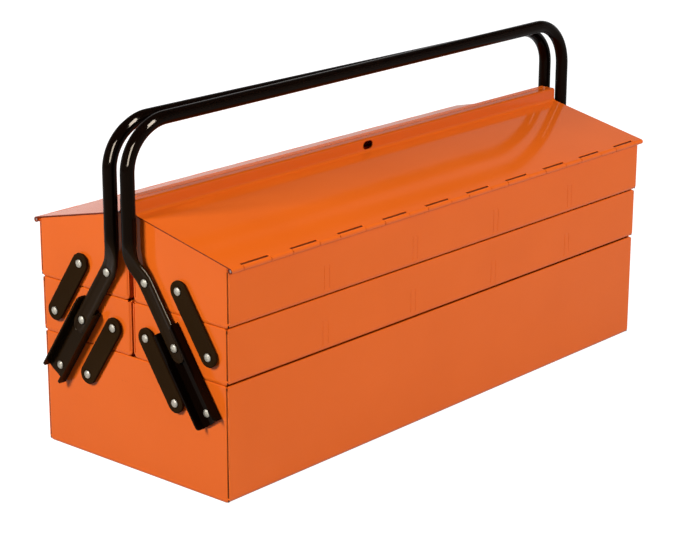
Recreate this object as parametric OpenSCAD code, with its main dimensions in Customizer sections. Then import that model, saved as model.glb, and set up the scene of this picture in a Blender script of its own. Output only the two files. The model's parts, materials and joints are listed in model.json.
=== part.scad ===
// Cantilever tool box: a bottom box, two pairs of swing-out trays, two sloping
// lids and two tubular handles that open the trays through parallel links.
// Origin: bottom centre of the box. X runs along the box, the front faces -Y,
// Z is up. All sizes in millimetres, shown closed.

/* [Box] */
// Length over the end plates
body_l = 530; // [420:1:620]
// Width over the walls of the bottom box
body_w = 200; // [180:1:240]
// Height of the bottom box
base_h = 92.3; // [80:0.1:120]
// Height of a middle tray
middle_h = 44; // [38:0.5:56]
// Height of a top tray's end plate at its outer wall
top_h = 46.3; // [42:0.1:60]
// Thickness of the sheet steel
sheet = 1; // [0.8:0.1:1.2]
// Free height between stacked trays
stack_gap = 0.4; // [0.3:0.1:0.8]
// How far a middle tray stands out past the bottom box
middle_overhang = 0.7; // [0:0.1:2]
// How far a top tray stands out past the middle tray
top_overhang = 1.5; // [0:0.1:3]
// Half the gap between the two middle trays
middle_gap = 1; // [0.6:0.1:3]
// Half the gap between the two top trays
top_gap = 2.5; // [0.6:0.1:4]

/* [Folds] */
// Outer radius of the fold along a tray's bottom edge
fold_r = 4; // [2.5:0.1:6]
// Outer radius of an end plate's fold
end_fold_r = 2; // [1.6:0.1:3]
// Width of an end plate's flange
flange_w = 10; // [8:0.5:14]
// How far a wrapped sheet's end lies behind the face of its end plate
edge_inset = 0.6; // [0.3:0.1:0.9]
// Free height between an end plate's side flange and its wall's hem
hem_clear = 0.6; // [0.4:0.1:1]
// Height of the hem turned in along a rim
hem_h = 7; // [5:0.5:10]
// Height of a divider rib's lower end above its tray's bottom
rib_up = 5; // [4:0.5:12]
// Height of a divider rib
rib_h = 20; // [12:1:26]
// Width of a divider rib
rib_w = 2.4; // [1.6:0.1:4]
// How deep a divider rib is pressed
rib_d = 0.15; // [0.1:0.05:0.9]
// Distance between the two ribs of a divider slot
rib_pair = 6; // [4:0.5:10]
// Distance between divider slots
slot_pitch = 106; // [80:1:130]
// Number of divider slots
slots = 4; // [1:1:4]

/* [Lid] */
// Slope of a lid
lid_angle = 12.8; // [8:0.1:16]
// Overhang of a lid past the end plates
lid_overhang = 1; // [0.5:0.1:2]
// Free height between a lid and its tray
lid_gap = 0.3; // [0.2:0.1:1]
// Width of the ridge that the two lids form
ridge_w = 16.6; // [14:0.1:24]
// Height of the ridge above its fold
ridge_h = 11; // [9:0.5:16]
// Gap between the two lids along the ridge
ridge_gap = 1; // [0.6:0.1:3]
// Length of the padlock slot
lock_l = 12; // [9:0.5:20]
// Height of the padlock slot
lock_h = 7; // [5:0.5:8]
// Sheet between the padlock slot and the ridge's lip
lock_web = 1.2; // [1:0.1:3]

/* [Hinge] */
// Diameter of the hinge wire
wire_d = 2.2; // [1.8:0.1:3]
// Distance of the hinge wire outside the tray's wall
wire_out = 2.5; // [2.5:0.1:4]
// Length of a tray's knuckle and its gap
knuckle_l = 29.5; // [20:0.5:34]
// Number of knuckles on a tray
knuckles = 10; // [6:1:12]
// Gap between two knuckles
knuckle_gap = 0.5; // [0.3:0.1:1]
// Radial clearance of the knuckles on the wire
wire_gap = 0.07; // [0.05:0.01:0.1]
// Gap between a tray's knuckle and the edge of the lid's window
window_gap = 0.5; // [0.4:0.1:1.5]

/* [Linkage] */
// Half of the travel from one tray to the next
link_run = 30; // [24:0.5:34]
// Height of a pivot above its tray's bottom
pivot_h = 19.8; // [16:0.1:22]
// Distance of the handle's lowest pivot inside the box's wall
handle_inset = 19.5; // [17:0.5:24]
// Distance of the lower link's lowest pivot inside the box's wall
lower_inset = 52; // [48:0.5:56]
// Distance of the upper link's lowest pivot inside the box's wall
upper_inset = 16.5; // [14:0.5:18]
// Width of a short link
link_w = 16; // [12:0.5:18]
// Thickness of a short link
link_t = 2.5; // [2:0.1:3]
// Width of the channel on a handle's leg
channel_w = 21.5; // [20:0.5:24]
// Height of the channel's flanges
channel_h = 8.5; // [6:0.5:10]
// Thickness of the channel's steel
channel_t = 1.4; // [1:0.1:2]
// Radius of the corners of the channel's flanges
channel_corner_r = 3; // [2:0.5:4]
// How far the channel runs above the middle pivot
channel_up = 16; // [12:0.5:18]
// How far the channel runs below the lowest pivot
channel_down = 9; // [8:0.5:12]
// Thickness of the spacer between a tray and its links
spacer_t = 1; // [0.8:0.1:2]
// Diameter of that spacer
spacer_d = 8; // [7:0.5:10]
// Diameter of a rivet's shank
rivet_d = 5; // [4:0.1:6]
// Diameter of a rivet's head
rivet_head_d = 6.4; // [6:0.1:9]
// Height of a rivet's head
rivet_head_h = 1.3; // [1.1:0.1:2.4]
// Height of the straight rim under the rivet head's dome
rivet_rim_h = 0.5; // [0.2:0.1:0.8]
// Diameter of a rivet's tail, inside a tray
rivet_tail_d = 7.5; // [6.5:0.1:9]
// Height of a rivet's tail
rivet_tail_h = 1.2; // [0.8:0.1:1.6]
// Radial clearance of a link on its rivet
pivot_gap = 0.1; // [0.05:0.01:0.2]
// Clearance along a rivet on each side of a link
side_gap = 0.1; // [0.05:0.01:0.2]

/* [Handle] */
// Diameter of the handle tube
tube_d = 11; // [10:0.5:13]
// Distance between the two handle tubes
handle_pitch = 19; // [18:0.5:24]
// Height of the grips above the ridge of the lids
grip_up = 61.5; // [45:0.5:80]
// Radius of the bend at a grip's ends, at the tube's middle
grip_bend_r = 40; // [25:1:45]
// Distance of the tube's middle outside the end plate
leg_out = 9.5; // [9:0.1:12]
// Width of the flattened tube
flat_w = 15.2; // [14:0.1:17]
// Thickness of the flattened tube
flat_t = 3; // [2.4:0.1:3.6]
// Straight flat length between that bend and the taper to the round tube
flat_run = 0.5; // [0.5:0.5:8]
// Radius of the bend in the flattened tube, at its middle
flat_bend_r = 22; // [18:1:26]
// Height over which the tube goes from round to flat
taper_h = 12; // [10:1:20]
// How far the flattened tube runs past the middle pivot
tube_down = 12; // [9:0.5:14]

/* [Hidden] */
$fn = 48;
// Overlap that fuses two shapes
eps = 0.01;
// Clearance between pieces that are welded or riveted to each other
fit_gap = 0.05;
// How far a cut runs past what it cuts, and past an open rim
over = 1;
over_rim = 40;
orange = [0.88, 0.34, 0.09];
black = [0.06, 0.05, 0.05];
link_brown = [0.16, 0.13, 0.10];
zinc = [0.72, 0.71, 0.68];

end_x = body_l / 2;
// What an end plate's fold and hem take up at the ends of the walls' hems
corner_w = max(2 * sheet, end_fold_r);
base_out = body_w / 2;
middle_out = base_out + middle_overhang;
top_out = middle_out + top_overhang;

// Levels
middle_z = base_h + stack_gap;
top_z = middle_z + middle_h + stack_gap;
link_rise = middle_h + stack_gap;
link_angle = atan(link_run / link_rise);
link_len = norm([link_run, link_rise]);
top_pivot_z = top_z + pivot_h;
middle_pivot_z = top_pivot_z - link_rise;
base_pivot_z = middle_pivot_z - link_rise;

// Pivots, as distance from the middle of the box
handle_base_u = base_out - handle_inset;
handle_middle_u = handle_base_u - link_run;
handle_top_u = handle_middle_u - link_run;
lower_base_u = base_out - lower_inset;
lower_middle_u = lower_base_u - link_run;
upper_middle_u = base_out - upper_inset;
upper_top_u = upper_middle_u - link_run;

// Ends of a wrapped sheet
sheet_x = end_x - edge_inset;

// Layers outside an end plate
layer_x = end_x + spacer_t + side_gap;
tube_x = layer_x + channel_t;

// Hinge and lid
wire_r = wire_d / 2;
bore_r = wire_r + wire_gap;
roll_r = bore_r + sheet;
hinge_u = top_out + wire_out;
hinge_z = top_z + top_h - (roll_r - sheet - lid_gap + wire_out * sin(lid_angle)) / cos(lid_angle);
knuckle_pitch = body_l / knuckles;
lid_knuckle_l = knuckle_pitch - knuckle_l;
ridge_u = ridge_w / 2;
// Inner radius of a lid's fold to its flange, and outer one of its lip
lid_bend_r = 3;
lip_r = 2;
lid_bend_u = ridge_u + lid_bend_r;
lid_bend_z = lid_face_z(lid_bend_u) + lid_bend_r / cos(lid_angle);
ridge_z = lid_face_z(ridge_u) + ridge_h;
lock_z = ridge_z - sheet - lock_web - lock_h / 2;

// Handle
tube_r = tube_d / 2;
handle_u = handle_pitch / 2;
grip_z = ridge_z + grip_up;
leg_x = end_x + leg_out;
kink_z = top_pivot_z + (handle_top_u - handle_u) / tan(link_angle);
flat_bend = flat_bend_r * tan(link_angle / 2);
flat_z = kink_z + flat_bend + flat_run;
round_z = flat_z + taper_h;
// Overlap of the tube's round and flat stretches with the taper between them,
// and how far the taper's surface lies under theirs
joint = 0.4;
skin = 0.03;

// Height of a lid's upper face at the distance u from the middle, and of the
// line that the top of its tray follows below it
function lid_face_z(u, t = roll_r) = hinge_z + (t + (hinge_u - u) * sin(lid_angle)) / cos(lid_angle);
function lid_seat_z(u) = lid_face_z(u, roll_r - sheet - lid_gap);

// ---- Placing ----

// A profile drawn as (distance from the middle, height), carried along X
module along_x(x0, x1) {
    translate([x0, 0, 0]) rotate([90, 0, 90]) linear_extrude(x1 - x0) children();
}

// Front pieces are the mirror image of the rear ones, left ones of the right ones
module front_of_rear(front) {
    if (front) mirror([0, 1, 0]) children(); else children();
}
module left_of_right(left) {
    if (left) mirror([1, 0, 0]) children(); else children();
}

// ---- Sheet steel boxes ----

// Outline of a box's section between u0 and u1, with its two bottom corners
// rounded. z0 is its bottom, za and zb its tops at u0 and u1.
module section(u0, u1, z0, za, zb, r) {
    polygon([[u0, z0 + r], [u1, z0 + r], [u1, zb], [u0, za]]);
    translate([u0 + r, z0]) square([u1 - u0 - 2 * r, r + eps]);
    for (u = [u0 + r, u1 - r]) translate([u, z0 + r]) circle(r);
}

// A hem at the top of a wall whose outer face is at u, turned in towards dir
module hem(u, z, dir) {
    translate([u + dir * sheet, z - sheet]) circle(sheet);
    translate([min(u, u + dir * 2 * sheet), z - hem_h]) square([2 * sheet, hem_h - sheet]);
}

// One bent sheet: a bottom with two walls. The walls run the whole length, and
// the hems stop short of the end plates.
module shell(u0, u1, z0, za, zb, hem_a, hem_b) {
    hem_x = end_x - corner_w - fit_gap;
    along_x(-sheet_x, sheet_x) difference() {
        section(u0, u1, z0, za - (hem_a ? sheet : 0), zb - (hem_b ? sheet : 0), fold_r);
        section(u0 + sheet, u1 - sheet, z0 + sheet, za + over_rim, zb + over_rim, fold_r - sheet);
    }
    along_x(-hem_x, hem_x) {
        if (hem_a) hem(u0, za, 1);
        if (hem_b) hem(u1, zb, -1);
    }
}

// Pan shape with every outer fold rounded: its face is at x, it reaches back by
// depth, and inset moves its sides and bottom inwards
module pan(x, depth, u0, u1, z0, za, zb, r, fold) {
    along_x(x - depth, x - fold) section(u0, u1, z0, za, zb, r);
    slope = (zb - za) / (u1 - u0);
    along_x(x - fold - eps, x)
        section(u0 + fold, u1 - fold, z0 + fold, za + slope * fold, zb - slope * fold, max(r - fold, eps));
    for (side = [[u0, za, 1], [u1, zb, -1]]) {
        height = side[1] - z0 - r + side[2] * slope * fold;
        intersection() {
            translate([x - fold, side[0] + side[2] * fold, z0 + r]) cylinder(r = fold, h = height);
            along_x(x - fold - eps, x)
                polygon([[u0, z0], [u1, z0], [u1, zb], [u0, za]]);
        }
        translate([x - fold, side[0] + side[2] * r, z0 + r]) rotate([0, 90, 0])
            rotate_extrude() {
                translate([r - fold, 0]) intersection() {
                    circle(fold);
                    square(fold);
                }
                square([r - fold + eps, fold]);
            }
    }
    translate([x - fold, u0 + r, z0 + fold]) rotate([-90, 0, 0]) cylinder(r = fold, h = u1 - u0 - 2 * r);
}

// End plate between two walls: a face with flanges along its bottom and sides.
// holes are the rivets' places in it.
module end_plate(u0, u1, z0, za, zb, holes, hemmed) {
    a = sheet + fit_gap;
    top = hemmed ? sheet : 0;
    inner = a + sheet;
    difference() {
        pan(end_x, flange_w, u0 + a, u1 - a, z0 + a, za - top, zb - top, fold_r - a, end_fold_r);
        pan(end_x - sheet, flange_w, u0 + inner, u1 - inner, z0 + inner, za + over_rim, zb + over_rim,
            fold_r - inner, end_fold_r - sheet);
        // the side flanges end below the hems of the walls
        for (side = [[u0, za], [u1, zb]])
            translate([end_x - flange_w - over, side[0] - 2 * corner_w, side[1] - hem_h - hem_clear])
                cube([flange_w + over - corner_w, 4 * corner_w, over_rim]);
        for (h = holes) translate([end_x - sheet - over, h[0], h[1]]) rotate([0, 90, 0])
            cylinder(d = rivet_d + 2 * fit_gap, h = sheet + 2 * over);
    }
    if (hemmed) {
        reach = u1 - u0 - 2 * (a + end_fold_r);
        translate([end_x - sheet, u0 + a + end_fold_r, za - sheet]) rotate([-90, 0, 0]) cylinder(r = sheet, h = reach);
        translate([end_x - 2 * sheet, u0 + a + end_fold_r, za - hem_h]) cube([sheet + eps, reach, hem_h - sheet]);
    }
}

// Divider slots: pairs of ribs pressed inwards into the wall at u
module ribs(u, z, inside) {
    for (k = [0:slots - 1], side = [-1, 1])
        translate([(k - (slots - 1) / 2) * slot_pitch + side * rib_pair / 2, u, z])
            rotate([90, 0, 0]) linear_extrude(inside ? sheet : rib_d * 2, center = !inside) {
                grow = inside ? sheet / 2 : 0;
                square([rib_w + 2 * grow, rib_h - rib_w], center = true);
                for (e = [-1, 1]) translate([0, e * (rib_h - rib_w) / 2]) circle(rib_w / 2 + grow);
            }
}

// A tray's shell with its divider slots
module tray_shell(u0, u1, z0, za, zb, hem_b) {
    rib_z = z0 + rib_up + rib_h / 2;
    difference() {
        union() {
            shell(u0, u1, z0, za, zb, true, hem_b);
            ribs(u1 - sheet + eps, rib_z, true);
        }
        ribs(u1, rib_z, false);
    }
}

module base_shell() {
    color(orange) shell(-base_out, base_out, 0, base_h, base_h, true, true);
}

module base_end(left) {
    color(orange) left_of_right(left)
        end_plate(-base_out, base_out, 0, base_h, base_h,
            [for (s = [-1, 1], u = [handle_base_u, lower_base_u]) [s * u, base_pivot_z]], true);
}

module middle_tray_shell(front) {
    z = middle_z + middle_h;
    color(orange) front_of_rear(front) tray_shell(middle_gap, middle_out, middle_z, z, z, true);
}

module middle_tray_end(front, left) {
    z = middle_z + middle_h;
    color(orange) front_of_rear(front) left_of_right(left)
        end_plate(middle_gap, middle_out, middle_z, z, z,
            [for (u = [handle_middle_u, lower_middle_u, upper_middle_u]) [u, middle_pivot_z]], true);
}

// ---- Top trays, lids and their hinges ----

// Rolled knuckle around the hinge wire
module roll() {
    translate([hinge_u, hinge_z]) circle(roll_r);
}

// Where tray knuckle k starts
function knuckle_x(k) = -end_x + k * knuckle_pitch + lid_knuckle_l / 2;

module top_tray_shell(front) {
    // the wall's sheet turns out under the wire at this height and slope
    turn_z = hinge_z - 2 * roll_r;
    turn = 30;
    color(orange) front_of_rear(front) {
        difference() {
            union() {
                tray_shell(top_gap, top_out, top_z, lid_seat_z(top_gap), top_z + top_h, false);
                for (k = [0:knuckles - 1])
                    along_x(knuckle_x(k) + knuckle_gap / 2, knuckle_x(k) + knuckle_l - knuckle_gap / 2) {
                        roll();
                        polygon([
                            [top_out - sheet / 2, turn_z - sheet / 2],
                            [top_out, turn_z],
                            [hinge_u - roll_r * sin(turn), hinge_z - roll_r * cos(turn)],
                            [hinge_u, hinge_z],
                            [top_out - sheet / 2, hinge_z]]);
                    }
            }
            translate([-end_x, hinge_u, hinge_z]) rotate([0, 90, 0]) cylinder(r = bore_r, h = body_l);
        }
    }
}

module top_tray_end(front, left) {
    color(orange) front_of_rear(front) left_of_right(left)
        end_plate(top_gap, top_out, top_z, lid_seat_z(top_gap), top_z + top_h,
            [for (u = [handle_top_u, upper_top_u]) [u, top_pivot_z]], false);
}

// Section of a lid: sloping plate, fold, upright flange and a lip to the middle
module lid_section() {
    intersection() {
        translate([hinge_u, hinge_z]) rotate(-lid_angle) translate([-body_w, roll_r - sheet]) square([body_w, sheet]);
        translate([lid_bend_u - (lid_bend_r + sheet) * sin(lid_angle), 0]) square([body_w, 2 * ridge_z]);
    }
    difference() {
        translate([lid_bend_u, lid_bend_z]) intersection() {
            circle(lid_bend_r + sheet);
            polygon([[0, 0], [-body_w, 0], [-body_w, -body_w], [-body_w * tan(lid_angle), -body_w]]);
        }
        translate([lid_bend_u, lid_bend_z]) circle(lid_bend_r);
    }
    translate([ridge_u - sheet, lid_bend_z - eps]) square([sheet, ridge_z - lip_r - lid_bend_z + 2 * eps]);
    translate([ridge_u - lip_r, ridge_z - lip_r]) difference() {
        intersection() {
            circle(lip_r);
            square(lip_r);
        }
        circle(lip_r - sheet);
    }
    translate([ridge_gap / 2, ridge_z - sheet]) square([ridge_u - lip_r - ridge_gap / 2 + eps, sheet]);
}

module lid(front) {
    lid_x = end_x + lid_overhang;
    cut_u = hinge_u - roll_r - window_gap;
    color(orange) front_of_rear(front) difference() {
        union() {
            along_x(-lid_x, lid_x) lid_section();
            for (k = [0:knuckles]) {
                x0 = k == 0 ? -lid_x : knuckle_x(k) - lid_knuckle_l + knuckle_gap / 2;
                x1 = k == knuckles ? lid_x : knuckle_x(k) - knuckle_gap / 2;
                along_x(x0, x1) roll();
            }
        }
        // windows over the tray's knuckles
        for (k = [0:knuckles - 1])
            translate([knuckle_x(k) - knuckle_gap / 2, cut_u, hinge_z - 2 * roll_r])
                cube([knuckle_l + knuckle_gap, 6 * roll_r, 5 * roll_r]);
        translate([-lid_x - over, hinge_u, hinge_z]) rotate([0, 90, 0]) cylinder(r = bore_r, h = 2 * (lid_x + over));
        // padlock slot through the flange
        translate([0, ridge_u + over, lock_z]) rotate([90, 0, 0]) linear_extrude(sheet + 2 * over) {
            square([lock_l - lock_h, lock_h], center = true);
            for (e = [-1, 1]) translate([e * (lock_l - lock_h) / 2, 0]) circle(lock_h / 2);
        }
    }
}

module hinge_wire(front) {
    wire_l = body_l + lid_overhang;
    color(zinc) front_of_rear(front)
        translate([-wire_l / 2, hinge_u, hinge_z]) rotate([0, 90, 0]) cylinder(r = wire_r, h = wire_l);
}

// ---- Links, channels and handles ----

// Drawn in the side view with the pivot at the origin and the link hanging down
module on_link(u, z) {
    translate([u, z]) rotate(link_angle) children();
}

module pivot_hole() {
    circle(d = rivet_d + 2 * pivot_gap);
}

module short_link(front, left, u, z) {
    color(link_brown) front_of_rear(front) left_of_right(left)
        along_x(layer_x, layer_x + link_t) on_link(u, z) difference() {
            union() {
                translate([-link_w / 2, -link_len]) square([link_w, link_len]);
                for (y = [0, -link_len]) translate([0, y]) circle(d = link_w);
            }
            for (y = [0, -link_len]) translate([0, y]) pivot_hole();
        }
}

// U channel: its web lies on the links' layer and its flanges stand outwards
module channel(front, left) {
    length = channel_up + link_len + channel_down;
    color(black) front_of_rear(front) left_of_right(left) {
        along_x(layer_x, layer_x + channel_t) on_link(handle_middle_u, middle_pivot_z) difference() {
            translate([-channel_w / 2, channel_up - length]) square([channel_w, length]);
            for (y = [0, -link_len]) translate([0, y]) pivot_hole();
        }
        translate([0, handle_middle_u, middle_pivot_z]) rotate([link_angle, 0, 0])
            for (y = [-channel_w / 2, channel_w / 2 - channel_t])
                translate([layer_x, y + channel_t, channel_up - length]) rotate([90, 0, 0]) linear_extrude(channel_t) {
                    square([channel_h - channel_corner_r, length]);
                    translate([0, channel_corner_r]) square([channel_h, length - 2 * channel_corner_r]);
                    for (z = [channel_corner_r, length - channel_corner_r])
                        translate([channel_h - channel_corner_r, z]) circle(channel_corner_r);
                }
    }
}

// Flattened leg of the handle, in the side view
module flat_leg() {
    end_r = flat_w / 2;
    far = 4 * flat_bend_r;
    translate([handle_u - end_r, kink_z + flat_bend]) square([flat_w, flat_z + joint - kink_z - flat_bend]);
    translate([handle_u + flat_bend_r, kink_z + flat_bend]) difference() {
        intersection() {
            circle(flat_bend_r + end_r);
            polygon([[0, 0], [-far, 0], [-far, -far * tan(link_angle)]]);
        }
        circle(flat_bend_r - end_r);
    }
    straight = norm([handle_top_u - handle_u, kink_z - top_pivot_z]) - flat_bend + eps;
    reach = link_len + tube_down - end_r;
    on_link(handle_top_u, top_pivot_z) {
        translate([-end_r, -reach]) square([flat_w, reach + straight]);
        translate([0, -reach]) circle(end_r);
    }
}

module handle(front) {
    bend_z = grip_z - grip_bend_r;
    grip_x = leg_x - grip_bend_r;
    color(black) front_of_rear(front) {
        translate([-grip_x, handle_u, grip_z]) rotate([0, 90, 0]) cylinder(r = tube_r, h = 2 * grip_x);
        for (left = [false, true]) left_of_right(left) {
            translate([grip_x, handle_u, bend_z]) rotate([90, 0, 0])
                rotate_extrude(angle = 90) translate([grip_bend_r, 0]) circle(tube_r);
            translate([leg_x, handle_u, round_z - joint]) cylinder(r = tube_r, h = bend_z - round_z + joint + eps);
            hull() {
                translate([leg_x, handle_u, round_z - eps]) cylinder(r = tube_r - skin, h = eps, $fn = 32);
                translate([tube_x + skin, handle_u - flat_w / 2 + skin, flat_z])
                    cube([flat_t - 2 * skin, flat_w - 2 * skin, eps]);
            }
            difference() {
                along_x(tube_x, tube_x + flat_t) flat_leg();
                for (p = [[handle_top_u, top_pivot_z], [handle_middle_u, middle_pivot_z]])
                    translate([tube_x - over, p[0], p[1]]) rotate([0, 90, 0])
                        cylinder(d = rivet_d + 2 * pivot_gap, h = flat_t + 2 * over);
            }
        }
    }
}

// ---- Rivets ----

// Rivet through an end plate: tail inside, spacer, and a head past what it
// holds, which lies between x0 and x1
module rivet(u, z, x0, x1) {
    head_r = rivet_head_d / 2;
    dome_h = rivet_head_h - rivet_rim_h;
    dome_r = (head_r * head_r + dome_h * dome_h) / (2 * dome_h);
    head_x = x1 + side_gap;
    translate([0, u, z]) rotate([0, 90, 0]) {
        translate([0, 0, end_x - sheet - rivet_tail_h]) cylinder(d = rivet_tail_d, h = rivet_tail_h);
        translate([0, 0, end_x - sheet - eps]) cylinder(d = rivet_d, h = head_x - end_x + sheet + 2 * eps);
        translate([0, 0, end_x]) cylinder(d = spacer_d, h = x0 - side_gap - end_x);
        intersection() {
            translate([0, 0, head_x]) cylinder(r = head_r, h = rivet_head_h);
            translate([0, 0, head_x + rivet_head_h - dome_r]) sphere(dome_r);
        }
    }
}

// What each kind of rivet holds
module link_rivet(u, z) {
    rivet(u, z, layer_x, layer_x + link_t);
}
module channel_rivet(u, z) {
    rivet(u, z, layer_x, layer_x + channel_t);
}
module leg_rivet(u, z, behind) {
    rivet(u, z, behind, tube_x + flat_t);
}

module base_rivets() {
    color(zinc) for (front = [true, false], left = [true, false])
        front_of_rear(front) left_of_right(left) {
            channel_rivet(handle_base_u, base_pivot_z);
            link_rivet(lower_base_u, base_pivot_z);
        }
}

module middle_tray_rivets(front) {
    color(zinc) front_of_rear(front) for (left = [true, false]) left_of_right(left) {
        leg_rivet(handle_middle_u, middle_pivot_z, layer_x);
        link_rivet(lower_middle_u, middle_pivot_z);
        link_rivet(upper_middle_u, middle_pivot_z);
    }
}

module top_tray_rivets(front) {
    color(zinc) front_of_rear(front) for (left = [true, false]) left_of_right(left) {
        leg_rivet(handle_top_u, top_pivot_z, tube_x);
        link_rivet(upper_top_u, top_pivot_z);
    }
}

// ---- Nodes ----

base_shell();
base_end(true);  // base_left_end
base_end(false);  // base_right_end
base_rivets();
middle_tray_shell(true);  // front_middle_tray_shell
middle_tray_end(true, true);  // front_middle_tray_left_end
middle_tray_end(true, false);  // front_middle_tray_right_end
middle_tray_rivets(true);  // front_middle_tray_rivets
top_tray_shell(true);  // front_top_tray_shell
top_tray_end(true, true);  // front_top_tray_left_end
top_tray_end(true, false);  // front_top_tray_right_end
top_tray_rivets(true);  // front_top_tray_rivets
lid(true);  // front_lid
hinge_wire(true);  // front_hinge_wire
handle(true);  // front_handle
channel(true, true);  // front_left_channel
channel(true, false);  // front_right_channel
short_link(true, true, lower_middle_u, middle_pivot_z);  // front_left_lower_link
short_link(true, false, lower_middle_u, middle_pivot_z);  // front_right_lower_link
short_link(true, true, upper_top_u, top_pivot_z);  // front_left_upper_link
short_link(true, false, upper_top_u, top_pivot_z);  // front_right_upper_link
middle_tray_shell(false);  // rear_middle_tray_shell
middle_tray_end(false, true);  // rear_middle_tray_left_end
middle_tray_end(false, false);  // rear_middle_tray_right_end
middle_tray_rivets(false);  // rear_middle_tray_rivets
top_tray_shell(false);  // rear_top_tray_shell
top_tray_end(false, true);  // rear_top_tray_left_end
top_tray_end(false, false);  // rear_top_tray_right_end
top_tray_rivets(false);  // rear_top_tray_rivets
lid(false);  // rear_lid
hinge_wire(false);  // rear_hinge_wire
handle(false);  // rear_handle
channel(false, true);  // rear_left_channel
channel(false, false);  // rear_right_channel
short_link(false, true, lower_middle_u, middle_pivot_z);  // rear_left_lower_link
short_link(false, false, lower_middle_u, middle_pivot_z);  // rear_right_lower_link
short_link(false, true, upper_top_u, top_pivot_z);  // rear_left_upper_link
short_link(false, false, upper_top_u, top_pivot_z);  // rear_right_upper_link
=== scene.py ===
"""Looks of the cantilever tool box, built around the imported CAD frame.

The scene is in metres, with the front at -Y. The pieces are drawn in millimetres: x runs along the box
to an end, u across it to a side, and z up.
"""
import json
import math

import bmesh
import bpy
from mathutils import Matrix, Vector
from mathutils.geometry import tessellate_polygon

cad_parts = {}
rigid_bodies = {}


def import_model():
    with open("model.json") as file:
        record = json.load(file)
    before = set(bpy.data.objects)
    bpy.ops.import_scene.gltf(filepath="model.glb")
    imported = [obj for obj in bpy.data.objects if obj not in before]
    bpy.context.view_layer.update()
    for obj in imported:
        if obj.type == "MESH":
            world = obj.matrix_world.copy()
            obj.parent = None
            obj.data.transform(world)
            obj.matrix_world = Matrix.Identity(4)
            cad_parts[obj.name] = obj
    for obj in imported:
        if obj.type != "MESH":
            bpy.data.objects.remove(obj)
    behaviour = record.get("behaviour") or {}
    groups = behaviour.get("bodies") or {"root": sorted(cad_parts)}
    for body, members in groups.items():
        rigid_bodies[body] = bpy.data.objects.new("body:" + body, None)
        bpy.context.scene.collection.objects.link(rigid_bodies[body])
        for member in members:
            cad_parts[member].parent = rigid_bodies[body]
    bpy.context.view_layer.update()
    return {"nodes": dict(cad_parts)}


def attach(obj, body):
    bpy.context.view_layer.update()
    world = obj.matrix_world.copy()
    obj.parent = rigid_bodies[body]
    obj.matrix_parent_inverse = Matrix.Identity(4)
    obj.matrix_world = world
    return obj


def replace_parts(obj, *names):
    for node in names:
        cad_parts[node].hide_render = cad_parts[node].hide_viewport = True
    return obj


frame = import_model()
nodes = frame["nodes"]
MM = 0.001
SIDES = (("front", -1), ("rear", 1))
ENDS = (("left", -1), ("right", 1))

# ------------------------------------ sizes of the CAD model that the pieces repeat, in millimetres

# Half lengths over the end plates, to the wrapped sheets' edges and over the lids
END_X, SHEET_X, LID_X = 265.0, 264.4, 266.0
# Outer radius of the sheets' folds, and how far an end plate's edge lies inside the sheet
FOLD_R = 4.0
PLATE_IN = 1.05
# The boxes: name, inner wall, outer wall, bottom, top of the outer wall
BOXES = [("base", -100.0, 100.0, 0.0, 92.3)]
for side, _ in SIDES:
    BOXES.append((side + "_middle_tray", 1.0, 100.7, 92.7, 136.7))
    BOXES.append((side + "_top_tray", 2.5, 102.2, 137.1, 181.0))
# The windows in a lid's edge: number, length, and where their upper edge lies
WINDOWS, WINDOW_L, WINDOW_U, WINDOW_Z = 10, 30.0, 102.03, 184.77

# The linkage: how far a link leans in over its height, and the heights of the pivots
LINK_IN, LINK_UP = 30.0, 44.4
LINK_ANGLE = math.atan2(LINK_IN, LINK_UP)
BASE_Z, MIDDLE_Z, TOP_Z = 68.1, 112.5, 156.9
# The short links: level, lower pivot, upper pivot
LINKS = (("lower", (48.0, BASE_Z), (18.0, MIDDLE_Z)), ("upper", (83.5, MIDDLE_Z), (53.5, TOP_Z)))
LINK_X, LINK_T, LINK_W = 266.1, 2.5, 16.0
LINK_BORE_R = 2.6

# The handles: the tube, the middle of its path, and its upper two pivots
TUBE_R = 5.5
HANDLE_U = 9.5
LEG_X = 274.5
GRIP_Z = 278.57
BEND_R = 40.0
LEG_MIDDLE_U, LEG_TOP_U = 50.5, 20.5
# The leg pressed flat: inner face, thickness and width, the bend in it, and how far it runs on past
# its lower pivot, which is the middle one of the linkage
FLAT_X, FLAT_T, FLAT_W = 267.5, 3.0, 15.2
FLAT_BEND_R = 30.0
FLAT_PAST = 12.0
# The heights between which a sloping plane presses the tube towards the box
PRESS_TOP, PRESS_END = 187.0, 157.5

# ---------------------------------------------------------- sizes of the pieces' own, in millimetres

# How much lower the grips lie at their left and right ends, because the tubes aren't bent alike
GRIP_DROP = {"front": (3.7, 0.0), "rear": (4.9, 7.3)}
# The heights between which a leg spreads out, flattens, and takes the groove pressed into it
SPREADS, FLATTENS, GROOVES = (186, 158), (176, 157), (178, 156)
GROOVE_DEPTH = 0.62
# The groove's half width and the width of its side, as shares of the leg's half width
GROOVE_HALF, GROOVE_SIDE = 0.3, 0.36
# The pressing plane starts this far outside the tube, and is left out past this share of its run
PRESS_LEAD, PRESS_SHARE = 0.5, 1.2
# Softness of the tube's edges where the plane presses it, where it is round and where it is flat
PRESS_SOFT, FLAT_SOFT = 0.9, 0.05
# The leg's sections come closer together from this far above the pressed part
PRESS_MARGIN = 3
# Points round the tube, and steps along the grip and its round bend
TUBE_POINTS, GRIP_STEPS, BEND_STEPS = 48, 8, 24
# Steps down a leg: its round part, its pressed part, the bend in its flat part, the rest, its tip
ROUND_STEPS, PRESS_STEPS, FLAT_BEND_STEPS, FLAT_STEPS, TIP_STEPS = 4, 12, 14, 16, 9
# The tip closes to this share of its width
TIP_END = 0.03

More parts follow.
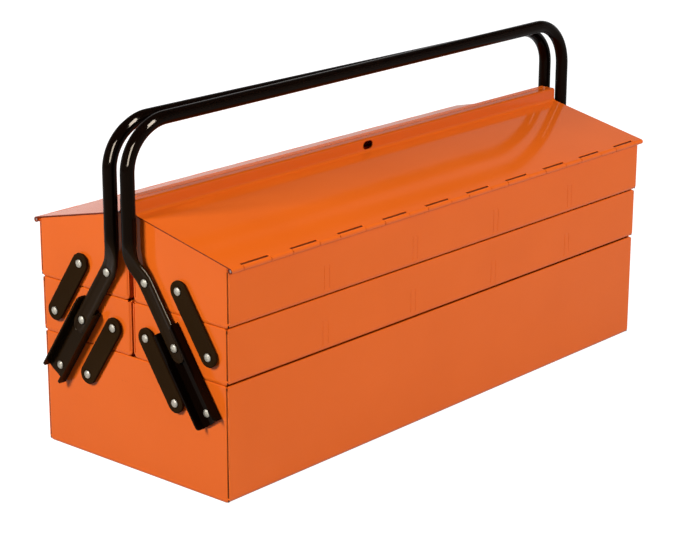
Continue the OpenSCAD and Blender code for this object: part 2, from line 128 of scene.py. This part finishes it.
# A link's rounded edge, and the sections round its bores: radius and depth under the face
LINK_EDGE_R = 0.6
LINK_PRESSED = ((5.4, 0.0), (4.9, 0.05), (4.3, 0.24), (3.0, 0.26), (LINK_BORE_R, 0.5))

# Sections of the strips in the seams: depth under the box's outside, then how far out they stand.
# The paint over a bottom fold is measured from the sheet's edge, the slit up a corner from the middle.
FOLD_PAINT = ((0.06, 0.03), (0.5, 0.24), (PLATE_IN, 0.4), (1.7, 0.5), (2.4, 0.57), (3.0, 0.602),
              (3.0, 0.5), (1.4, -0.9), (PLATE_IN, -0.9), (0.9, -0.02), (0.06, -0.02))
SLIT = ((0.85, 264.0), (0.85, 264.42), (1.6, 264.43), (1.92, 264.72), (1.92, 264.2), (1.6, 263.9))
# The slit starts this far below the fold's end, and stops this far below the wall's top
SLIT_LOW, SLIT_TOP = 1.5, 1.0
# Reliefs where the folds end: their stretches above a box's bottom and below its wall's top, where
# their middle lies, how far inside the end plate's edge, and their radius
RELIEF_LOW, RELIEF_TOP = (0.6, 3.4), (4.2, 1.2)
RELIEF_X, RELIEF_IN, RELIEF_R = 264.35, 0.12, 0.6
# The shadow in a lid's window: points as (outwards from its edge, height)
WINDOW_SHADOW = ((-0.03, 183.3), (0.4, 183.3), (0.32, WINDOW_Z - 0.6), (0.12, WINDOW_Z - 0.36),
                 (-0.03, WINDOW_Z - 0.34))
WINDOW_END_GAP = 0.1

# Where the enamel's colour changes, partly as painted shade and painted reflection: a lid's cut ends,
# the front lid's flange, the leg's pressed part
CUT_X, FLANGE_SHADE_Z, TUBE_REFLECTION_Z = (LID_X - 0.16, LID_X - 0.06), (205.6, 207.6), (190, 170)


# ---------------------------------------------------------------------------------------- materials

def nodes_of(name):
    """A new material with only a principled shader, as (material, node tree, shader)."""
    m = bpy.data.materials.new(name)
    m.use_nodes = True
    t = m.node_tree
    t.nodes.clear()
    out = t.nodes.new("ShaderNodeOutputMaterial")
    b = t.nodes.new("ShaderNodeBsdfPrincipled")
    t.links.new(b.outputs[0], out.inputs[0])
    return m, t, b


def noise(t, coord, scale, detail=3.0, rough=0.5, stretch=None):
    src = coord.outputs["Object"]
    if stretch:
        mapping = t.nodes.new("ShaderNodeMapping")
        mapping.inputs["Scale"].default_value = stretch
        t.links.new(src, mapping.inputs["Vector"])
        src = mapping.outputs[0]
    n = t.nodes.new("ShaderNodeTexNoise")
    n.inputs["Scale"].default_value = scale
    n.inputs["Detail"].default_value = detail
    n.inputs["Roughness"].default_value = rough
    t.links.new(src, n.inputs["Vector"])
    return n.outputs["Fac"]


def ramp(t, fac, stops):
    r = t.nodes.new("ShaderNodeValToRGB")
    e = r.color_ramp.elements
    while len(e) < len(stops):
        e.new(0.5)
    for k, (at, colour) in enumerate(stops):
        e[k].position = at
        e[k].color = (*colour, 1)
    t.links.new(fac, r.inputs[0])
    return r.outputs[0]


def spread(t, fac, low, high, a=0.3, b=0.7):
    """Maps fac from a..b to low..high."""
    r = t.nodes.new("ShaderNodeMapRange")
    r.inputs["From Min"].default_value = a
    r.inputs["From Max"].default_value = b
    r.inputs["To Min"].default_value = low
    r.inputs["To Max"].default_value = high
    t.links.new(fac, r.inputs["Value"])
    return r.outputs[0]


def bump(t, b, fac, strength, distance, under=None):
    n = t.nodes.new("ShaderNodeBump")
    n.inputs["Strength"].default_value = strength
    n.inputs["Distance"].default_value = distance
    t.links.new(fac, n.inputs["Height"])
    if under:
        t.links.new(under, n.inputs["Normal"])
    t.links.new(n.outputs[0], b.inputs["Normal"])
    return n.outputs[0]


def calculate(t, operation, *values):
    """The result of a math node, whose inputs are numbers or other nodes' outputs."""
    n = t.nodes.new("ShaderNodeMath")
    n.operation = operation
    for socket, value in zip(n.inputs, values):
        if isinstance(value, (int, float)):
            socket.default_value = value
        else:
            t.links.new(value, socket)
    return n.outputs[0]


def paint(name, dark, light, rough, level, peel, tint=(1, 1, 1)):
    """Enamel: a little cloudy in colour and gloss, with orange peel."""
    m, t, b = nodes_of(name)
    c = t.nodes.new("ShaderNodeTexCoord")
    cloud = noise(t, c, 14, 4)
    t.links.new(ramp(t, cloud, [(0.3, dark), (0.7, light)]), b.inputs["Base Color"])
    fine = noise(t, c, 60, 5, 0.6)
    t.links.new(spread(t, fine, rough[0], rough[1]), b.inputs["Roughness"])
    b.inputs["Specular IOR Level"].default_value = level
    b.inputs["Specular Tint"].default_value = (*tint, 1)
    wave = bump(t, b, noise(t, c, 22, 2), peel * 0.5, 0.0004)
    bump(t, b, noise(t, c, 620, 2), peel, 0.00006, wave)
    return m


def add_colour(m, name, axis, start, end, colour):
    """A copy of m whose colour changes along an axis, from start to end in millimetres."""
    m = m.copy()
    m.name = name
    t = m.node_tree
    b = next(n for n in t.nodes if n.type == "BSDF_PRINCIPLED")
    before = b.inputs["Base Color"].links[0].from_socket
    xyz = t.nodes.new("ShaderNodeSeparateXYZ")
    t.links.new(next(n for n in t.nodes if n.type == "TEX_COORD").outputs["Object"], xyz.inputs[0])
    size = calculate(t, "ABSOLUTE", xyz.outputs[axis])
    mix = t.nodes.new("ShaderNodeMix")
    mix.data_type = "RGBA"
    t.links.new(spread(t, size, 0.0, 1.0, start * MM, end * MM), mix.inputs["Factor"])
    t.links.new(before, mix.inputs["A"])
    mix.inputs["B"].default_value = (*colour, 1)
    t.links.new(mix.outputs["Result"], b.inputs["Base Color"])
    return m


def metal(name, dark, light, rough, scale, stretch=None):
    """Bare or zinc plated steel, spotted in colour and gloss."""
    m, t, b = nodes_of(name)
    c = t.nodes.new("ShaderNodeTexCoord")
    spots = noise(t, c, scale, 5, 0.6, stretch)
    t.links.new(ramp(t, spots, [(0.32, dark), (0.68, light)]), b.inputs["Base Color"])
    b.inputs["Metallic"].default_value = 1.0
    gloss = noise(t, c, scale * 2.3, 3, 0.5, stretch)
    t.links.new(spread(t, gloss, rough[0], rough[1]), b.inputs["Roughness"])
    bump(t, b, noise(t, c, scale * 1.7, 4, 0.6, stretch), 0.35, 0.00012)
    return m


def shadow(name, dark, light):
    """Painted shade: the dull colour of a deep gap."""
    m, t, b = nodes_of(name)
    c = t.nodes.new("ShaderNodeTexCoord")
    t.links.new(ramp(t, noise(t, c, 500), [(0.3, dark), (0.7, light)]), b.inputs["Base Color"])
    b.inputs["Roughness"].default_value = 0.7
    b.inputs["Specular IOR Level"].default_value = 0.1
    return m


ORANGE = paint("orange_enamel", (0.755, 0.124, 0.009), (0.785, 0.132, 0.0105),
               rough=(0.07, 0.11), level=0.22, peel=0.2)
BLACK = paint("black_enamel", (0.003, 0.0011, 0.0005), (0.0045, 0.0018, 0.0008),
              rough=(0.05, 0.08), level=0.055, peel=0.1, tint=(1, 0.85, 0.68))
LINK_BROWN = paint("dark_enamel", (0.0185, 0.0088, 0.0028), (0.0235, 0.0112, 0.0038),
                   rough=(0.38, 0.5), level=0.015, peel=0.5, tint=(1, 0.7, 0.4))
# painted reflection: the rear channel's black enamel is drawn brown, as its web mirrors brighter surroundings
REAR_CHANNEL_REFLECTION = paint("brown_enamel", (0.0125, 0.0058, 0.0018), (0.016, 0.0075, 0.0024),
                      rough=(0.16, 0.24), level=0.05, peel=0.2, tint=(1, 0.75, 0.5))
# the lids' cut ends are darker, partly for thinner enamel on the cut and partly as painted shade under
# a lid's edge; the front lid's upright flange is darker as painted shade; and the tube is brown where
# it is pressed flat, as a painted reflection of the surroundings in its flat faces
LID_ORANGE = add_colour(ORANGE, "lid_enamel", "X", *CUT_X, (0.17, 0.022, 0.004))
# painted shade: the front lid's upright flange is drawn darker
FRONT_LID = add_colour(LID_ORANGE, "front_lid_enamel", "Z", *FLANGE_SHADE_Z, (0.6, 0.092, 0.0035))
# painted reflection: the black tube is drawn brown below its round bend, where it is pressed flat
TUBE_BLACK = add_colour(BLACK, "tube_enamel_painted_reflection", "Z", *TUBE_REFLECTION_Z, (0.0165, 0.008, 0.0028))
ZINC = metal("zinc", (0.36, 0.33, 0.27), (0.7, 0.66, 0.56), rough=(0.42, 0.6), scale=900)
WIRE = metal("steel_wire", (0.34, 0.33, 0.31), (0.55, 0.53, 0.5), rough=(0.25, 0.4), scale=300,
             stretch=(0.02, 1, 1))
DEEP_SHADOW = shadow("shadowed_gap", (0.012, 0.003, 0.001), (0.03, 0.007, 0.002))
SLIT_SHADOW = shadow("shadowed_slit", (0.15, 0.028, 0.005), (0.2, 0.038, 0.007))


# --------------------------------------------------------------------------------- CAD nodes' looks

def dress(o, material, width):
    """A new material and softly rounded edges, width in millimetres. The CAD mesh stays as it is."""
    o.data.materials.clear()
    o.data.materials.append(material)
    weld = o.modifiers.new("weld", "WELD")
    weld.merge_threshold = 2e-6
    if width:
        edges = o.modifiers.new("edges", "BEVEL")
        edges.width = width * MM
        edges.segments = 2
        edges.limit_method = "ANGLE"
        edges.angle_limit = math.radians(30)
        edges.use_clamp_overlap = True
    shading = o.modifiers.new("shading", "WEIGHTED_NORMAL")
    shading.keep_sharp = False


def look(name):
    """Material and edge width of a CAD node."""
    front = name.startswith("front")
    if name.endswith("rivets"):
        return ZINC, 0
    if name.endswith("hinge_wire"):
        return WIRE, 0.3
    if name.endswith("link"):
        return LINK_BROWN, 0.45
    if name.endswith("channel"):
        # the rear channel is drawn brown as a painted reflection; the front one stays black
        return (BLACK if front else REAR_CHANNEL_REFLECTION), 0.45
    if name.endswith("handle"):
        return BLACK, 0
    if name.endswith("lid"):
        return (FRONT_LID if front else LID_ORANGE), 0.18
    return ORANGE, 0.18


for name, o in nodes.items():
    dress(o, *look(name))


# --------------------------------------------------------------------------------------- new pieces

def piece(name, bm, material, body):
    mesh = bpy.data.meshes.new(name)
    bmesh.ops.recalc_face_normals(bm, faces=bm.faces)
    bm.to_mesh(mesh)
    bm.free()
    mesh.shade_smooth()
    o = bpy.data.objects.new(name, mesh)
    bpy.context.scene.collection.objects.link(o)
    mesh.materials.append(material)
    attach(o, body)
    return o


def ring_of(bm, points):
    """Vertices at points in millimetres."""
    return [bm.verts.new([v * MM for v in p]) for p in points]


def join(bm, rings):
    """Faces between each ring of vertices and the next."""
    for r0, r1 in zip(rings, rings[1:]):
        m = len(r0)
        for k in range(m):
            bm.faces.new((r0[k], r0[(k + 1) % m], r1[(k + 1) % m], r1[k]))


def bar(bm, sections):
    """A closed bar through the given sections, each a list of points in millimetres."""
    rings = [ring_of(bm, points) for points in sections]
    join(bm, rings)
    bm.faces.new(rings[0])
    bm.faces.new(rings[-1])


def clamp(x):
    return max(0.0, min(1.0, x))


def smooth_step(x):
    x = clamp(x)
    return x * x * (3 - 2 * x)


def below(z, start, end):
    """0 above the height start, 1 below the height end, smooth between them."""
    return smooth_step((start - z) / (start - end))


def smooth_min(a, b, soft):
    h = max(soft - abs(a - b), 0.0) / soft
    return min(a, b) - h * h * soft / 4


def after(start, end, steps):
    """The values after start, up to end, in equal steps."""
    return [start + (end - start) * k / steps for k in range(1, steps + 1)]


# Handles

def round_section():
    """Points of the round tube: (across, out), starting at the outer face's middle."""
    angles = [2 * math.pi * k / TUBE_POINTS for k in range(TUBE_POINTS)]
    return [(TUBE_R * math.sin(a), TUBE_R * math.cos(a)) for a in angles]


def flat_section():
    """The same points on the flattened tube: (across, out, share of the groove's depth)."""
    half, t = FLAT_W / 2, FLAT_T / 2
    straight, arc = half - t, math.pi * t
    total = 4 * straight + 2 * arc
    points = []
    for k in range(TUBE_POINTS):
        s = (k / TUBE_POINTS) * total
        if s < straight:
            p = (s, t)
        elif s < straight + arc:
            a = (s - straight) / t
            p = (straight + t * math.sin(a), t * math.cos(a))
        elif s < 3 * straight + arc:
            p = (2 * straight + arc - s, -t)
        elif s < 3 * straight + 2 * arc:
            a = (s - 3 * straight - arc) / t
            p = (-straight - t * math.sin(a), -t * math.cos(a))
        else:
            p = (s - total, t)
        groove = 1 - smooth_step((abs(p[0]) / half - GROOVE_HALF) / GROOVE_SIDE)
        points.append((*p, groove))
    return points


def leg_ring(z):
    """One section of a leg at the height z of its path, as (across, x). The round tube is
    pressed in by a plane that slopes towards the box."""
    share = (PRESS_TOP - z) / (PRESS_TOP - PRESS_END)
    outer = LEG_X + TUBE_R + PRESS_LEAD
    face = FLAT_X + FLAT_T
    plane = outer + (face - outer) * share
    wide, flat, grooved = below(z, *SPREADS), below(z, *FLATTENS), below(z, *GROOVES)
    ring = []
    for p, q in zip(round_section(), flat_section()):
        x = (LEG_X + p[1]) * (1 - flat) + (FLAT_X + FLAT_T / 2 + q[1]) * flat
        if share < PRESS_SHARE:
            x = smooth_min(x, max(plane, face), PRESS_SOFT * (1 - flat) + FLAT_SOFT)
        x -= math.copysign(GROOVE_DEPTH, q[1]) * q[2] * grooved
        ring.append((p[0] + (q[0] - p[0]) * wide, x))
    return ring


def grip_rings():
    """Sections from the grip's middle to the end of its round bend, as points (x, u, z)."""
    grip_x, bend_z = LEG_X - BEND_R, GRIP_Z - BEND_R
    rings = [[(x, HANDLE_U + w, GRIP_Z + t) for w, t in round_section()]
             for x in [0.0] + after(0.0, grip_x, GRIP_STEPS)]
    for a in after(0.0, math.pi / 2, BEND_STEPS):
        along, up = math.sin(a), math.cos(a)
        rings.append([(grip_x + (BEND_R + t) * along, HANDLE_U + w, bend_z + (BEND_R + t) * up)
                      for w, t in round_section()])
    return rings


def leg_path():
    """The leg's path below the round bend, as (u, z, lean)."""
    kink_z = TOP_Z + (LEG_TOP_U - HANDLE_U) / math.tan(LINK_ANGLE)
    bend_z = kink_z + FLAT_BEND_R * math.tan(LINK_ANGLE / 2)
    press_z = PRESS_TOP + PRESS_MARGIN
    heights = after(GRIP_Z - BEND_R, press_z, ROUND_STEPS) + after(press_z, bend_z, PRESS_STEPS)[:-1]
    path = [(HANDLE_U, z, 0.0) for z in heights]
    for a in [0.0] + after(0.0, LINK_ANGLE, FLAT_BEND_STEPS):
        path.append((HANDLE_U + FLAT_BEND_R * (1 - math.cos(a)), bend_z - FLAT_BEND_R * math.sin(a), a))
    u, z, lean = path[-1]
    past = FLAT_PAST - FLAT_W / 2
    end_u, end_z = LEG_MIDDLE_U + math.sin(lean) * past, MIDDLE_Z - math.cos(lean) * past
    return path + [(*place, lean) for place in zip(after(u, end_u, FLAT_STEPS), after(z, end_z, FLAT_STEPS))]


def tip_rings(u, z, lean):
    """The rounded tip that closes the flattened leg below its path's end."""
    rings = []
    middle = FLAT_X + FLAT_T / 2
    for share in after(0.0, 1.0, TIP_STEPS):
        b = math.pi / 2 * share
        on, narrow = FLAT_W / 2 * math.sin(b), max(math.cos(b), TIP_END)
        rings.append([(middle + (x - middle) * (1 - 0.5 * share ** 4),
                       u + math.sin(lean) * on + w * narrow * math.cos(lean),
                       z - math.cos(lean) * on + w * narrow * math.sin(lean)) for w, x in leg_ring(z)])
    return rings


def handle(side, sign):
    """A handle's tube with both legs, in place of the CAD's plainer one."""
    path = leg_path()
    half = grip_rings() + [[(x, u + w * math.cos(a), z + w * math.sin(a)) for w, x in leg_ring(z)]
                           for u, z, a in path] + tip_rings(*path[-1])
    left, right = GRIP_DROP[side]

    def lowered(x, z):
        at = clamp(0.5 + x / (2 * LEG_X))
        up = clamp((z - GRIP_Z + BEND_R) / BEND_R)
        return z - (left + (right - left) * at) * up

    both = [(ring, 1) for ring in reversed(half)] + [(ring, -1) for ring in half[1:]]
    bm = bmesh.new()
    bar(bm, [[(end * x, sign * u, lowered(end * x, z)) for x, u, z in ring] for ring, end in both])
    tube = piece(f"{side}_handle_tube", bm, TUBE_BLACK, f"{side}_handle")
    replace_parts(tube, f"{side}_handle")


for side, sign in SIDES:
    handle(side, sign)


# Short links

def stadium(length, inset, n=14):
    """Outline of a link, drawn in as far as inset, between pivots at 0 and length."""
    r = LINK_W / 2 - inset
    arc = [(r * math.sin(math.pi * k / n), r * math.cos(math.pi * k / n)) for k in range(n + 1)]
    return [(length + a, b) for a, b in arc] + [(-a, -b) for a, b in arc]


def circle(cx, r, n=28):
    return [(cx + r * math.cos(2 * math.pi * k / n), r * math.sin(2 * math.pi * k / n)) for k in range(n)]


def through(profile):
    """A profile under the inner face, and the same again under the outer one."""
    return list(profile) + [(size, LINK_T - depth) for size, depth in reversed(profile)]


def link(name, sign, end, low, high):
    """A short link: rounded edges, and the faces pressed in a little round each rivet."""
    bm = bmesh.new()
    along = Vector((high[0] - low[0], high[1] - low[1]))
    length = along.length
    du, dz = along / length

    def ring(points, depth):
        x = end * (LINK_X + depth)
        return ring_of(bm, [(x, sign * (low[0] + a * du - b * dz), low[1] + a * dz + b * du)
                            for a, b in points])

    # outline: a loop on the inner face, its rounded edge, then the same on the outer face
    edge = [(LINK_EDGE_R * (1 - math.sin(a)), LINK_EDGE_R * (1 - math.cos(a)))
            for a in (0.0, 0.52, 1.05, math.pi / 2)]
    outline = [ring(stadium(length, inset), depth) for inset, depth in through([(1.0, 0.0)] + edge)]
    join(bm, outline)
    bores = []
    for cx in (0.0, length):
        bores.append([ring(circle(cx, r), depth) for r, depth in through(LINK_PRESSED)])
        join(bm, bores[-1])
    for face in (0, -1):
        loops = [outline[face], bores[0][face], bores[1][face]]
        corners = [v for loop in loops for v in loop]
        for tri in tessellate_polygon([[v.co for v in loop] for loop in loops]):
            bm.faces.new([corners[i] for i in tri])
    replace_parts(piece(name + "_bar", bm, LINK_BROWN, name), name)


for side, sign in SIDES:
    for place, end in ENDS:
        for level, low, high in LINKS:
            link(f"{side}_{place}_{level}_link", sign, end, low, high)


# Seams

def bottom_seam(bm, sign, end, u0, u1, z0):
    """Paint that rounds off the joint of an end plate and the sheet wrapped round it."""
    sections = []
    for cu, start in ((u0 + FOLD_R, math.pi), (u1 - FOLD_R, 1.5 * math.pi)):
        for a in [start] + after(start, start + math.pi / 2, 8):
            sections.append([(end * (SHEET_X + x), sign * (cu + (FOLD_R - d) * math.cos(a)),
                              z0 + FOLD_R + (FOLD_R - d) * math.sin(a)) for d, x in FOLD_PAINT])
    bar(bm, sections)


def relief(bm, sign, end, u, z0, z1):
    """The short wider opening where a fold ends."""
    sections = []
    for share in (0.0, 0.12, 0.3, 0.7, 0.88, 1.0):
        r = (0.1 + math.sin(math.pi * share) ** 0.5) * RELIEF_R
        z = z0 + (z1 - z0) * share
        sections.append([(end * (RELIEF_X + r * math.cos(0.9 * k)),
                          sign * (u - PLATE_IN - RELIEF_IN + r * math.sin(0.9 * k)), z) for k in range(7)])
    bar(bm, sections)


def seams(tray, u0, u1, z0, z1):
    """The paint over a box's folded bottom corners, and painted shade in its corner slits and their reliefs.
    """
    facing = (-1, 1) if tray == "base" else (-1,) if tray.startswith("front") else (1,)
    reliefs = [(z0 + RELIEF_LOW[0], z0 + RELIEF_LOW[1])]
    if "top" not in tray:
        reliefs.append((z1 - RELIEF_TOP[0], z1 - RELIEF_TOP[1]))
    painted, slits, openings = bmesh.new(), bmesh.new(), bmesh.new()
    for _, end in ENDS:
        bottom_seam(painted, facing[0], end, u0, u1, z0)
        for sign in facing:
            bar(slits, [[(end * x, sign * (u1 - d), z) for d, x in SLIT]
                        for z in (z0 + FOLD_R - SLIT_LOW, z1 - SLIT_TOP)])
            for low, high in reliefs:
                relief(openings, sign, end, u1, low, high)
    piece(tray + "_bottom_seams", painted, ORANGE, tray)
    piece(tray + "_corner_seams", slits, SLIT_SHADOW, tray)
    piece(tray + "_corner_reliefs", openings, DEEP_SHADOW, tray)


def window_shadows(side, sign):
    """The shadow in the gap between each of a lid's windows and the tray's knuckle in it."""
    bm = bmesh.new()
    for k in range(WINDOWS):
        cx = (k + 0.5 - WINDOWS / 2) * 2 * END_X / WINDOWS
        half = WINDOW_L / 2 - WINDOW_END_GAP
        bar(bm, [[(x, sign * (WINDOW_U + du), z) for du, z in WINDOW_SHADOW] for x in (cx - half, cx + half)])
    piece(side + "_lid_window_shadows", bm, SLIT_SHADOW, side + "_lid")


for box in BOXES:
    seams(*box)
for side, sign in SIDES:
    window_shadows(side, sign)


# ---------------------------------------------------------------------- stage, light and camera, in metres

# The lamps: name, place, size, watts. They point at the box's middle.
LAMPS = (("key", (-2.25, 0.35, 1.35), 0.6, 59), ("front", (0.2, -2.6, 1.2), 1.6, 69),
         ("top", (-0.35, -0.3, 2.4), 0.3, 7), ("back", (0.4, 2.6, 0.8), 1.2, 64))
LAMPS_AT = (0, 0, 0.14)
# Soft boxes that only the handles' tubes mirror: name, place, width, height, watts
SOFT_BOXES = (("soft_box_left", (-1.9, -1.6, 1.25), 0.9, 1.8, 620),
              ("soft_box_top", (0.35, -1.55, 2.1), 0.5, 1.5, 330))
SOFT_BOXES_AT = (-0.25, 0, 0.26)
# Brightness of the surroundings in mirroring surfaces, by height from the horizon (0) to overhead (1)
MIRRORED_SKY = ((0.0, 0.74), (0.05, 0.7), (0.2, 0.38), (0.44, 0.38), (0.53, 0.07), (1.0, 0.05))
# Brightness of the floor to the camera and in mirroring surfaces, and of the surroundings as light
FLOOR_SEEN, FLOOR_MIRRORED, SKY_FILL = 0.96, 0.42, 0.09
WHITE = (1, 1, 1, 1)
CAMERA_AT = (-1.28983, -1.10031, 0.62085)
CAMERA_TOWARDS = (0.72145, 0.62792, -0.29194)
CAMERA_ROLL = math.radians(0.124)
CAMERA_LENS, CAMERA_SENSOR = 110.42, 36


def floor():
    """A white floor that keeps the box's shadow."""
    bm = bmesh.new()
    bmesh.ops.create_grid(bm, x_segments=1, y_segments=1, size=30)
    mesh = bpy.data.meshes.new("floor")
    bm.to_mesh(mesh)
    bm.free()
    o = bpy.data.objects.new("floor", mesh)
    o.location.z = -0.0002
    bpy.context.scene.collection.objects.link(o)
    m, t, b = nodes_of("floor_white")
    b.inputs["Base Color"].default_value = (0.22, 0.22, 0.22, 1)
    b.inputs["Roughness"].default_value = 0.9
    b.inputs["Specular IOR Level"].default_value = 0.0
    ray = t.nodes.new("ShaderNodeLightPath").outputs
    mirrored = calculate(t, "MULTIPLY", ray["Is Glossy Ray"], FLOOR_MIRRORED)
    glow = calculate(t, "MULTIPLY_ADD", ray["Is Camera Ray"], FLOOR_SEEN, mirrored)
    b.inputs["Emission Color"].default_value = WHITE
    t.links.new(glow, b.inputs["Emission Strength"])
    mesh.materials.append(m)


def background(t, strength=1.0):
    n = t.nodes.new("ShaderNodeBackground")
    n.inputs["Color"].default_value = WHITE
    n.inputs["Strength"].default_value = strength
    return n


def mix_shaders(t, share, first, second):
    n = t.nodes.new("ShaderNodeMixShader")
    for socket, value in zip(n.inputs, (share, first, second)):
        t.links.new(value, socket)
    return n.outputs[0]


def surroundings():
    """White to the camera, dim as a light, and brighter near the horizon in what mirrors it."""
    world = bpy.data.worlds.new("studio")
    bpy.context.scene.world = world
    world.use_nodes = True
    t = world.node_tree
    t.nodes.clear()
    out = t.nodes.new("ShaderNodeOutputWorld")
    ray = t.nodes.new("ShaderNodeLightPath").outputs
    coord = t.nodes.new("ShaderNodeTexCoord")
    xyz = t.nodes.new("ShaderNodeSeparateXYZ")
    t.links.new(coord.outputs["Generated"], xyz.inputs[0])
    mirrored = background(t)
    stops = [(height, (bright,) * 3) for height, bright in MIRRORED_SKY]
    t.links.new(ramp(t, xyz.outputs["Z"], stops), mirrored.inputs["Color"])
    lit = mix_shaders(t, ray["Is Glossy Ray"], background(t, SKY_FILL).outputs[0], mirrored.outputs[0])
    seen = calculate(t, "MAXIMUM", ray["Is Camera Ray"], ray["Is Transmission Ray"])
    t.links.new(mix_shaders(t, seen, lit, background(t).outputs[0]), out.inputs[0])


def area(name, at, target, width, height, power):
    lamp = bpy.data.lights.new(name, "AREA")
    lamp.shape = "RECTANGLE"
    lamp.size, lamp.size_y = width, height
    lamp.energy = power
    o = bpy.data.objects.new(name, lamp)
    bpy.context.scene.collection.objects.link(o)
    o.location = at
    o.rotation_euler = (Vector(target) - Vector(at)).to_track_quat("-Z", "Y").to_euler()
    return o


def receivers(name, endings):
    """A group of the objects whose names have one of the endings."""
    group = bpy.data.collections.new(name)
    for o in bpy.context.scene.objects:
        if o.name.endswith(endings):
            group.objects.link(o)
    return group


def glint(lamp, group):
    """Leaves of a lamp only its mirror image, in the objects of the group."""
    lamp.visible_diffuse = False
    lamp.light_linking.receiver_collection = group


def lamps():
    """The lamps light everything, but only the small metal parts mirror them."""
    small_parts = receivers("small_parts", ("_tube", "_bar", "_channel", "_rivets", "_wire"))
    tubes = receivers("tubes", ("_tube",))
    for name, at, size, power in LAMPS:
        area(name, at, LAMPS_AT, size, size, power).visible_glossy = False
        glint(area(name + "_mirrored", at, LAMPS_AT, size, size, power), small_parts)
    for name, at, width, height, power in SOFT_BOXES:
        glint(area(name, at, SOFT_BOXES_AT, width, height, power), tubes)


def camera():
    cam = bpy.data.cameras.new("camera")
    cam.sensor_width = CAMERA_SENSOR
    cam.lens = CAMERA_LENS
    cam.clip_start, cam.clip_end = 0.05, 80
    o = bpy.data.objects.new("camera", cam)
    bpy.context.scene.collection.objects.link(o)
    forward = Vector(CAMERA_TOWARDS).normalized()
    level = forward.cross(Vector((0, 0, 1))).normalized()
    upright = level.cross(forward)
    right = level * math.cos(CAMERA_ROLL) + upright * math.sin(CAMERA_ROLL)
    up = upright * math.cos(CAMERA_ROLL) - level * math.sin(CAMERA_ROLL)
    turn = Matrix((right, up, -forward)).transposed().to_4x4()
    o.matrix_world = Matrix.Translation(Vector(CAMERA_AT)) @ turn
    bpy.context.scene.camera = o


floor()
surroundings()
lamps()
camera()
bpy.context.scene.view_settings.view_transform = "Standard"
